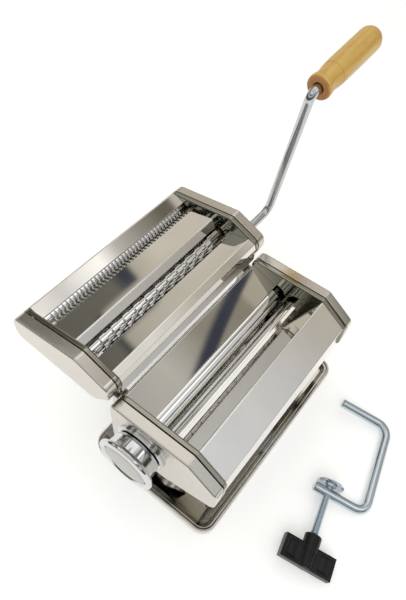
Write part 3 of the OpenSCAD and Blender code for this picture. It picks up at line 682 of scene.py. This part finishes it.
NX, NY = 30, 66
sides = []
for s in (1, -1):
    grid = []
    for j in range(NY + 1):
        y = -HALF + 0.6 + (2 * HALF - 1.2) * j / NY
        grid.append(tee.ring([(wing + 0.6 + (KNOB_LEN - 9 - 1.2) * i / NX, y,
                               s * pillow(wing + 0.6 + (KNOB_LEN - 10.2) * i / NX, y)) for i in range(NX + 1)]))
    for a, c in zip(grid, grid[1:]):
        tee.bridge(a, c, False)
    edge = ([r[0] for r in grid] + grid[-1][1:] + [r[-1] for r in grid[-2::-1]] + grid[0][-2:0:-1])
    sides.append(edge)


def pushed(edge, out, drop):
    """The wing's outline moved out, and towards its middle plane."""
    pts = []
    for i in edge:
        x, y, z = tee.verts[i]
        x += out * (-1 if x < wing + 0.7 else 1 if x > wing + KNOB_LEN - 9.7 else 0)
        y += out * (-1 if y < -HALF + 0.7 else 1 if y > HALF - 0.7 else 0)
        pts.append((x, y, z - drop * (1 if z > 0 else -1)))
    return tee.ring(pts)


loops = [sides[0], pushed(sides[0], 0.4, 0.15), pushed(sides[0], 0.6, 0.6), pushed(sides[1], 0.6, 0.6),
         pushed(sides[1], 0.4, 0.15), sides[1]]
for a, c in zip(loops, loops[1:]):
    tee.bridge(a, c)
spun(tee, [(0, KNOB_AT + 0.4), (6.4, KNOB_AT), (7.2, KNOB_AT + 0.8), (7.2, wing + 6), (6.4, wing + 8),
      (6.4, KNOB_AT + KNOB_LEN - 0.4), (0, KNOB_AT + KNOB_LEN - 0.4)], r=0.5, around=72)
fit(tee.object("clamp_tee", clamp), "clamp_handle", "black_plastic", "clamp_knob")

# ---- floor, light and camera ----
m, n, s = new_material("floor")
coord = n.add("ShaderNodeTexCoord").outputs["Object"]
plain = n.mix(n.span(n.noise(coord, 3), 0.4, 0.6, 0, 1), (0.86, 0.86, 0.85), (0.88, 0.88, 0.87))
n.tree.links.new(plain, s.inputs["Base Color"])
s.inputs["Roughness"].default_value = 0.9
s.inputs["Emission Color"].default_value = (1, 1, 0.99, 1)
s.inputs["Emission Strength"].default_value = 0.32
me = bpy.data.meshes.new("floor")
me.from_pydata([(-4, -4, 0), (4, -4, 0), (4, 4, 0), (-4, 4, 0)], [], [(0, 1, 2, 3)])
me.materials.append(m)
floor = bpy.data.objects.new("floor", me)
floor.location.z = -0.0002
scene.collection.objects.link(floor)

world = bpy.data.worlds.new("studio")
scene.world = world
world.use_nodes = True
n = Nodes(world.node_tree)
back = world.node_tree.nodes["Background"]
way = n.add("ShaderNodeTexCoord").outputs["Generated"]


def patch(direction, inner, outer):
    """1 within inner degrees of a direction, 0 beyond outer degrees."""
    d = Vector(direction).normalized()
    return n.span(n.dot(way, tuple(d)), math.cos(math.radians(outer)), math.cos(math.radians(inner)), 0, 1, True)


def over(direction, lo, hi):
    return n.span(n.dot(way, direction), lo, hi, 0, 1, True)


def ramp(value, stops):
    """A colour that runs through (position, colour) stops."""
    node = n.add("ShaderNodeValToRGB", {0: value})
    bar = node.color_ramp
    while len(bar.elements) < len(stops):
        bar.elements.new(0.5)
    for element, (at, color) in zip(bar.elements, stops):
        element.position = at
        element.color = (*color, 1)
    return node.outputs[0]


X, Y, Z = (1, 0, 0), (0, 1, 0), (0, 0, 1)
rx = n.dot(way, X)
# towards the front, the back and low down
front = ramp(rx, [(0.0, (0.86, 0.88, 0.92)), (0.33, (0.80, 0.82, 0.85)), (0.5, (0.70, 0.70, 0.71)), (0.6, (0.58, 0.55, 0.49)),
                  (0.9, (0.50, 0.48, 0.44))])
rear = ramp(rx, [(0.0, (0.50, 0.49, 0.46)), (0.28, (0.14, 0.135, 0.12)), (0.41, (0.17, 0.165, 0.14)), (0.43, (0.06, 0.062, 0.085)),
                 (0.445, (0.06, 0.062, 0.085)), (0.455, (0.56, 0.52, 0.44)), (0.5, (0.72, 0.68, 0.60)), (0.9, (0.74, 0.69, 0.62))])
rear_high = ramp(rx, [(0.0, (0.50, 0.49, 0.46)), (0.28, (0.14, 0.135, 0.12)), (0.345, (0.17, 0.165, 0.14)),
                      (0.36, (0.08, 0.08, 0.08)), (0.372, (0.50, 0.48, 0.41)), (0.5, (0.66, 0.63, 0.55)), (0.9, (0.74, 0.69, 0.62))])
rear = n.mix(over((0.25, 0, 1), 0.585, 0.597), rear, rear_high)
rear = n.mix(over(Z, 0.36, 0.28), rear, (0.60, 0.57, 0.48))
sky = n.mix(over(Y, -0.3, 0.45), front, rear)
# overhead, from behind to the front
behind = ramp(rx, [(0.0, (1.1, 1.1, 1.1)), (0.28, (1.1, 1.09, 1.07)), (0.34, (0.80, 0.78, 0.76)), (0.40, (1.25, 1.24, 1.22)),
                   (0.42, (1.35, 1.34, 1.31)), (0.455, (0.62, 0.60, 0.57)), (0.50, (0.36, 0.34, 0.30)), (0.545, (0.17, 0.155, 0.12)),
                   (0.562, (0.17, 0.155, 0.12)), (0.57, (0.64, 0.60, 0.54)), (0.9, (0.75, 0.72, 0.66))])
middle = ramp(rx, [(0.0, (1.0, 1.0, 1.0)), (0.40, (0.92, 0.90, 0.87)), (0.50, (0.62, 0.58, 0.51)), (0.58, (0.50, 0.47, 0.40)),
                   (0.62, (0.66, 0.63, 0.57)), (0.9, (0.70, 0.68, 0.62))])
ahead_of = ramp(rx, [(0.0, (0.8, 0.8, 0.8)), (0.30, (0.52, 0.50, 0.48)), (0.38, (0.60, 0.58, 0.54)), (0.46, (0.34, 0.32, 0.27)),
                     (0.545, (0.30, 0.28, 0.225)), (0.553, (0.50, 0.46, 0.38)), (0.9, (0.62, 0.58, 0.50))])
light = n.mix(over(Y, 0.0, 0.08), middle, behind)
light = n.mix(n.math("MULTIPLY", over(Y, -0.13, -0.11), over(Y, 0.13, 0.11)), light, (1.2, 1.2, 1.2))
light = n.mix(over(Y, -0.28, -0.32), light, ahead_of)
bend = n.math("ADD", rx, n.math("MULTIPLY", n.dot(way, Y), -1.6))
stripe = n.math("MULTIPLY", n.span(bend, 1.005, 1.03, 0, 1, True), n.span(bend, 1.065, 1.055, 0, 1, True))
light = n.mix(n.math("MULTIPLY", stripe, n.math("MULTIPLY", over(Y, -0.26, -0.3), over(Y, -0.43, -0.41))), light, (0.05, 0.055, 0.08))
overhead = n.math("MULTIPLY", over(Z, 0.66, 0.72), over(Y, -0.6, -0.5))
sky = n.mix(overhead, sky, light)


def band(direction, lo, hi, blur=0.03):
    """1 where a direction's share of the way lies between lo and hi."""
    return n.math("MULTIPLY", over(direction, lo - blur, lo), over(direction, hi + blur, hi))


# what only rods, beads and rounded edges catch: dark strips at the horizon, bright ones higher up
ahead, astern = over(Y, -0.35, -0.5), over(Y, 0.6, 0.75)
sky = n.mix(n.math("MULTIPLY", ahead, band(Z, 0.25, 0.36)), sky, (0.06, 0.065, 0.05))
sky = n.mix(n.math("MULTIPLY", over(Y, -0.47, -0.5), band(Z, 0.70, 0.95)), sky, (1.6, 1.62, 1.66))
sky = n.mix(n.math("MULTIPLY", astern, band(Z, 0.31, 0.37, 0.02)), sky, (0.07, 0.08, 0.04))
sky = n.mix(n.math("MULTIPLY", band(Y, 0.26, 0.46, 0.02), over(Z, 0.6, 0.7)), sky, (1.15, 1.15, 1.13))
sky = n.mix(n.math("MULTIPLY", band(Y, 0.52, 0.57, 0.02), over(Z, 0.6, 0.7)), sky, (0.10, 0.10, 0.10))
# the room to the left and the right
side_way = n.math("MAXIMUM", over(X, 0.16, 0.04), over(X, 0.80, 0.86))
room = ramp(n.dot(way, Z), [(0.0, (0.30, 0.29, 0.26)), (0.12, (0.05, 0.055, 0.04)), (0.30, (0.09, 0.10, 0.06)), (0.38, (0.55, 0.56, 0.60)),
                            (0.52, (0.85, 0.86, 0.88)), (0.60, (0.16, 0.17, 0.19)), (0.70, (0.22, 0.22, 0.21)), (0.78, (1.3, 1.3, 1.28)),
                            (0.9, (0.75, 0.74, 0.70))])
sky = n.mix(side_way, sky, room)
n.tree.links.new(sky, back.inputs[0])
back.inputs[1].default_value = 1.0

for name, at, size, power, seen in (("key", (-0.9, -0.5, 1.3), 0.9, 7, False), ("fill", (0.2, 1.3, 0.9), 0.8, 3, False)):
    lamp = bpy.data.lights.new(name, "AREA")
    lamp.energy, lamp.size = power, size
    o = bpy.data.objects.new(name, lamp)
    o.location = at
    o.visible_glossy = seen
    o.rotation_euler = (Vector((0, 0, 0.05)) - o.location).to_track_quat("-Z", "Y").to_euler()
    scene.collection.objects.link(o)

cam_data = bpy.data.cameras.new("camera")
cam = bpy.data.objects.new("camera", cam_data)
scene.collection.objects.link(cam)
scene.camera = cam
right, down, ahead = Vector((0.611, -0.789, 0.07)), Vector((-0.619, -0.531, -0.579)), Vector((0.494, 0.31, -0.812))
pose = Matrix((right, -down, -ahead)).transposed().to_4x4()
pose.translation = (-0.2088, -0.09722, 0.47706)
cam.matrix_world = pose
cam_data.sensor_fit, cam_data.sensor_width = "AUTO", 36
cam_data.lens = 542 / 600 * 36
cam_data.shift_x, cam_data.shift_y = -(205.92 - 203) / 600, (310.16 - 300) / 600
cam_data.clip_start = 0.01
scene.view_settings.view_transform = "Standard"
